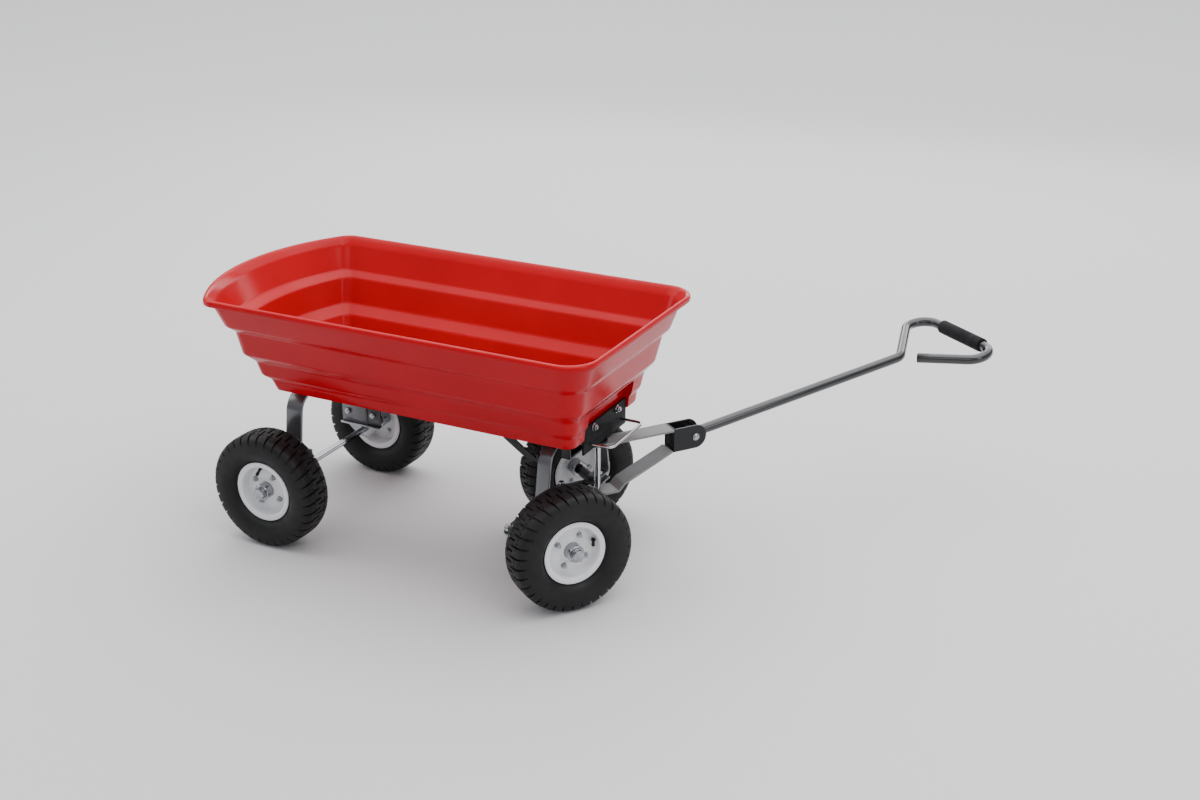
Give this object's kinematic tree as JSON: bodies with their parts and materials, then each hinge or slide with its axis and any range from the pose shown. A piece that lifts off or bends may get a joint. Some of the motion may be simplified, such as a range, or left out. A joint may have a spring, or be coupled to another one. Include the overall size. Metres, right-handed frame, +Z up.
{
  "type": "tipping garden cart",
  "caption": "Steel-framed garden cart with a moulded tub that tips to the rear, pneumatic wheels, front steering by the tongue, and a pull handle with a triangular grip loop.",
  "frame": {"origin": "middle of the bounding box's base, on the ground, in the stored pose", "axes": "+X from the rear axle towards the front, +Y to the cart's left, +Z up"},
  "size_m": [1.5312, 1.1234, 0.561],
  "materials": {
    "red_tub": "glossy moulded red",
    "black_steel": "gloss black paint",
    "grey_strap": "satin grey paint",
    "zinc_steel": "bright zinc plate",
    "tyre": "matt black rubber",
    "white_rim": "gloss white enamel",
    "foam_grip": "matt black foam"
  },
  "bodies": {
    "frame": {"axle_saddle_left": "zinc_steel", "axle_saddle_right": "zinc_steel", "front_axle_bracket": "black_steel", "front_beam": "black_steel", "front_brace_left": "black_steel", "front_brace_right": "black_steel", "front_crossmember": "black_steel", "hinge_lug_left": "black_steel", "hinge_lug_right": "black_steel", "hinge_pin": "zinc_steel", "kingpin_left": "zinc_steel", "kingpin_right": "zinc_steel", "rail_left": "black_steel", "rail_right": "black_steel", "rear_axle": "zinc_steel", "rear_axle_bracket": "black_steel", "rear_crossmember": "black_steel", "saddle_bolt_left_front": "zinc_steel", "saddle_bolt_left_rear": "zinc_steel", "saddle_bolt_right_front": "zinc_steel", "saddle_bolt_right_rear": "zinc_steel", "tongue_pivot_bolt": "zinc_steel"},
    "tub": {"tub": "red_tub", "hinge_strap_left": "zinc_steel", "hinge_strap_right": "zinc_steel", "latch_bracket": "black_steel", "latch_bolt_left": "zinc_steel", "latch_bolt_right": "zinc_steel", "release_spring_left": "zinc_steel", "release_spring_right": "zinc_steel"},
    "release": {"release_loop": "zinc_steel"},
    "tongue": {"steering_arm": "black_steel", "tongue_strap_lower": "grey_strap", "tongue_strap_upper": "grey_strap", "clevis": "black_steel", "clevis_pin": "zinc_steel"},
    "handle": {"handle_sleeve": "black_steel", "handle_tube": "black_steel", "handle_grip": "foam_grip"},
    "drag_link": {"drag_link": "zinc_steel"},
    "tie_rod": {"tie_rod": "zinc_steel"},
    "knuckle_left": {"knuckle_left": "black_steel"},
    "knuckle_right": {"knuckle_right": "black_steel"},
    "wheel_rear_left": {"tyre_rear_left": "tyre", "rim_rear_left": "white_rim", "hub_rear_left": "zinc_steel", "axle_nut_rear_left": "zinc_steel"},
    "wheel_rear_right": {"tyre_rear_right": "tyre", "rim_rear_right": "white_rim", "hub_rear_right": "zinc_steel", "axle_nut_rear_right": "zinc_steel"},
    "wheel_front_left": {"tyre_front_left": "tyre", "rim_front_left": "white_rim", "hub_front_left": "zinc_steel", "axle_nut_front_left": "zinc_steel"},
    "wheel_front_right": {"tyre_front_right": "tyre", "rim_front_right": "white_rim", "hub_front_right": "zinc_steel", "axle_nut_front_right": "zinc_steel"}
  },
  "joints": [
    {"name": "steer", "type": "hinge", "parent": "frame", "child": "tongue", "pos_m": [0.1164, -0.26633, 0.2], "axis": [0, 0, 1], "range_deg": [-112, 4]},
    {"name": "knuckle_left_turn", "type": "hinge", "parent": "frame", "child": "knuckle_left", "pos_m": [0.0582, -0.15003, 0.12], "axis": [0, 0, 1], "range_deg": [-112, 4]},
    {"name": "knuckle_right_turn", "type": "hinge", "parent": "frame", "child": "knuckle_right", "pos_m": [0.0582, -0.38263, 0.12], "axis": [0, 0, 1], "range_deg": [-112, 4]},
    {"name": "tie_rod_pivot", "type": "hinge", "parent": "knuckle_left", "child": "tie_rod", "pos_m": [0.00648, -0.22122, 0.147], "axis": [0, 0, 1], "range_deg": [-4, 112]},
    {"name": "drag_link_pivot", "type": "hinge", "parent": "tongue", "child": "drag_link", "pos_m": [0.08044, -0.30106, 0.1667], "axis": [0, 0, 1], "range_deg": [-4, 112]},
    {"name": "handle_pitch", "type": "hinge", "parent": "tongue", "child": "handle", "pos_m": [0.24924, -0.08349, 0.264], "axis": [0.809, -0.5878, 0], "range_deg": [-28, 76]},
    {"name": "tub_tip", "type": "hinge", "parent": "frame", "child": "tub", "pos_m": [-0.6016, -0.26633, 0.321], "axis": [0, -1, 0], "range_deg": [0, 90]},
    {"name": "release_slide", "type": "slide", "parent": "tub", "child": "release", "axis": [1, 0, 0], "range_m": [0, 0.012], "stiffness_N_per_m": 300, "springref_m": -0.01},
    {"name": "wheel_rear_left_spin", "type": "hinge", "parent": "frame", "child": "wheel_rear_left", "pos_m": [-0.5736, -0.05733, 0.13], "axis": [0, 1, 0], "continuous": true},
    {"name": "wheel_rear_right_spin", "type": "hinge", "parent": "frame", "child": "wheel_rear_right", "pos_m": [-0.5736, -0.47533, 0.13], "axis": [0, 1, 0], "continuous": true},
    {"name": "wheel_front_left_spin", "type": "hinge", "parent": "knuckle_left", "child": "wheel_front_left", "pos_m": [-0.01849, -0.09431, 0.13], "axis": [-0.809, 0.5878, 0], "continuous": true},
    {"name": "wheel_front_right_spin", "type": "hinge", "parent": "knuckle_right", "child": "wheel_front_right", "pos_m": [0.1349, -0.43835, 0.13], "axis": [-0.809, 0.5878, 0], "continuous": true}
  ],
  "couplings": [
    {"joint": "knuckle_left_turn", "follows": "steer", "ratio": 1},
    {"joint": "knuckle_right_turn", "follows": "steer", "ratio": 1},
    {"joint": "tie_rod_pivot", "follows": "steer", "ratio": -1},
    {"joint": "drag_link_pivot", "follows": "steer", "ratio": -1}
  ]
}
